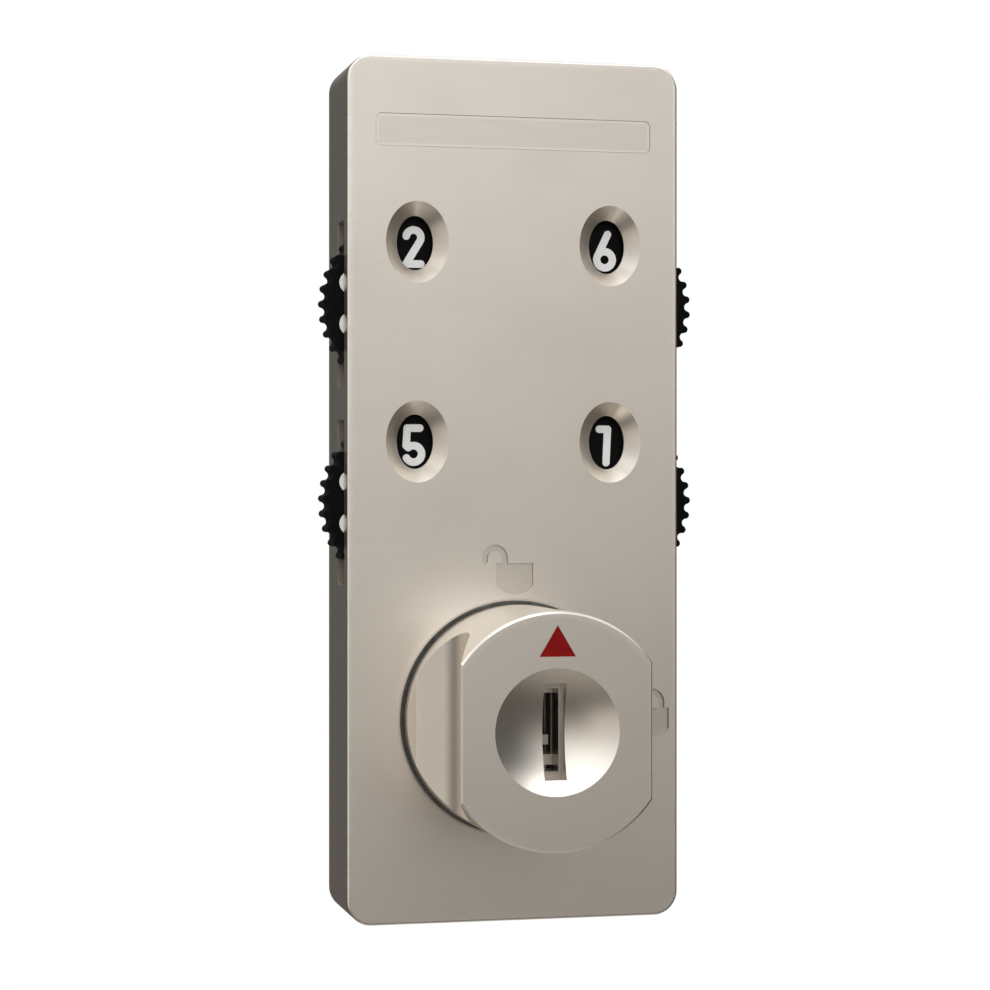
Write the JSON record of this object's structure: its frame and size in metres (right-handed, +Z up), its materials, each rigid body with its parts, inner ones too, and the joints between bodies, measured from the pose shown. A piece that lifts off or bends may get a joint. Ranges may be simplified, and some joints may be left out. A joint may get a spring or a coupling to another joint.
{
  "type": "dial combination lock",
  "caption": "Door-mounted combination lock: toothed dials behind bevelled windows, a waisted turning knob with a key slot, and a locking cam.",
  "frame": {"origin": "on the knob's axis at the door face (the middle of the spigot's foot)", "axes": "+X to the right seen from the front, +Y into the door along the knob's axis, +Z up along the case"},
  "size_m": [0.053, 0.0672, 0.12],
  "materials": {
    "satin_nickel": "satin champagne nickel plating on a zinc casting",
    "name_plate_metal": "brushed, blank",
    "zinc_plate": "zinc plated",
    "screw_steel": "bright zinc plated",
    "black_polymer": "moulded, slightly satin",
    "white_enamel": "white second shot",
    "ring_brass": "machined",
    "spring_steel": "spring temper",
    "post_steel": "turned",
    "slide_steel": "stamped and zinc plated",
    "red_enamel": "dark red paint fill",
    "plug_brass": "machined",
    "wafer_brass": "stamped",
    "zinc_casting": "raw zinc casting",
    "cam_steel": "zinc plated",
    "bush_polymer": "acetal"
  },
  "bodies": {
    "case": {"front_case": "satin_nickel", "name_plate": "name_plate_metal", "back_plate": "zinc_plate", "spindle_bush": "bush_polymer", "knob_detent": "spring_steel", "case_screw_upper_left": "screw_steel", "dial_post_upper_left": "post_steel", "post_clip_upper_left": "spring_steel", "dial_detent_upper_left": "spring_steel", "case_screw_upper_right": "screw_steel", "dial_post_upper_right": "post_steel", "post_clip_upper_right": "spring_steel", "dial_detent_upper_right": "spring_steel", "case_screw_lower_left": "screw_steel", "dial_post_lower_left": "post_steel", "post_clip_lower_left": "spring_steel", "dial_detent_lower_left": "spring_steel", "case_screw_lower_right": "screw_steel", "dial_post_lower_right": "post_steel", "post_clip_lower_right": "spring_steel", "dial_detent_lower_right": "spring_steel"},
    "dial_upper_left": {"dial_wheel_upper_left": "black_polymer", "numerals_upper_left": "white_enamel", "code_ring_upper_left": "ring_brass", "clutch_spring_upper_left": "spring_steel"},
    "dial_upper_right": {"dial_wheel_upper_right": "black_polymer", "numerals_upper_right": "white_enamel", "code_ring_upper_right": "ring_brass", "clutch_spring_upper_right": "spring_steel"},
    "dial_lower_left": {"dial_wheel_lower_left": "black_polymer", "numerals_lower_left": "white_enamel", "code_ring_lower_left": "ring_brass", "clutch_spring_lower_left": "spring_steel"},
    "dial_lower_right": {"dial_wheel_lower_right": "black_polymer", "numerals_lower_right": "white_enamel", "code_ring_lower_right": "ring_brass", "clutch_spring_lower_right": "spring_steel"},
    "slide": {"lock_slide": "slide_steel", "fence_pin_upper_left": "post_steel", "fence_pin_upper_right": "post_steel", "fence_pin_lower_left": "post_steel", "fence_pin_lower_right": "post_steel"},
    "knob": {"knob_grip": "satin_nickel", "pointer_fill": "red_enamel", "key_plug": "plug_brass", "drive_hub": "zinc_casting", "hub_screw_upper": "screw_steel", "hub_screw_lower": "screw_steel", "drive_spindle": "post_steel", "cam": "cam_steel", "cam_washer": "screw_steel", "cam_screw": "screw_steel", "wafer_spring_1": "spring_steel", "wafer_spring_2": "spring_steel", "wafer_spring_3": "spring_steel", "wafer_spring_4": "spring_steel"},
    "wafer_1": {"wafer_1": "wafer_brass"},
    "wafer_2": {"wafer_2": "wafer_brass"},
    "wafer_3": {"wafer_3": "wafer_brass"},
    "wafer_4": {"wafer_4": "wafer_brass"}
  },
  "joints": [
    {"name": "dial_upper_left_turn", "type": "hinge", "parent": "case", "child": "dial_upper_left", "pos_m": [-0.0138, 0, 0.05755], "axis": [0, 1, 0], "continuous": true, "deforming": ["dial_detent_upper_left"]},
    {"name": "dial_upper_right_turn", "type": "hinge", "parent": "case", "child": "dial_upper_right", "pos_m": [0.0138, 0, 0.05755], "axis": [0, 1, 0], "continuous": true, "deforming": ["dial_detent_upper_right"]},
    {"name": "dial_lower_left_turn", "type": "hinge", "parent": "case", "child": "dial_lower_left", "pos_m": [-0.0138, 0, 0.02995], "axis": [0, 1, 0], "continuous": true, "deforming": ["dial_detent_lower_left"]},
    {"name": "dial_lower_right_turn", "type": "hinge", "parent": "case", "child": "dial_lower_right", "pos_m": [0.0138, 0, 0.02995], "axis": [0, 1, 0], "continuous": true, "deforming": ["dial_detent_lower_right"]},
    {"name": "knob_turn", "type": "hinge", "parent": "case", "child": "knob", "pos_m": [0, 0, 0], "axis": [0, 1, 0], "range_deg": [0, 90], "deforming": ["knob_detent"]},
    {"name": "slide_drop", "type": "slide", "parent": "case", "child": "slide", "axis": [0, 0, -1], "range_m": [0, 0.0055]},
    {"name": "wafer_1_slide", "type": "slide", "parent": "knob", "child": "wafer_1", "axis": [0, 0, -1], "range_m": [0, 0.0008], "stiffness_N_per_m": 40, "springref_m": -0.001, "deforming": ["wafer_spring_1"]},
    {"name": "wafer_2_slide", "type": "slide", "parent": "knob", "child": "wafer_2", "axis": [0, 0, -1], "range_m": [0, 0.0008], "stiffness_N_per_m": 40, "springref_m": -0.001, "deforming": ["wafer_spring_2"]},
    {"name": "wafer_3_slide", "type": "slide", "parent": "knob", "child": "wafer_3", "axis": [0, 0, -1], "range_m": [0, 0.0008], "stiffness_N_per_m": 40, "springref_m": -0.001, "deforming": ["wafer_spring_3"]},
    {"name": "wafer_4_slide", "type": "slide", "parent": "knob", "child": "wafer_4", "axis": [0, 0, -1], "range_m": [0, 0.0008], "stiffness_N_per_m": 40, "springref_m": -0.001, "deforming": ["wafer_spring_4"]}
  ],
  "couplings": [
    {"joint": "slide_drop", "follows": "knob_turn", "m_per_rad": 0.0035014}
  ]
}
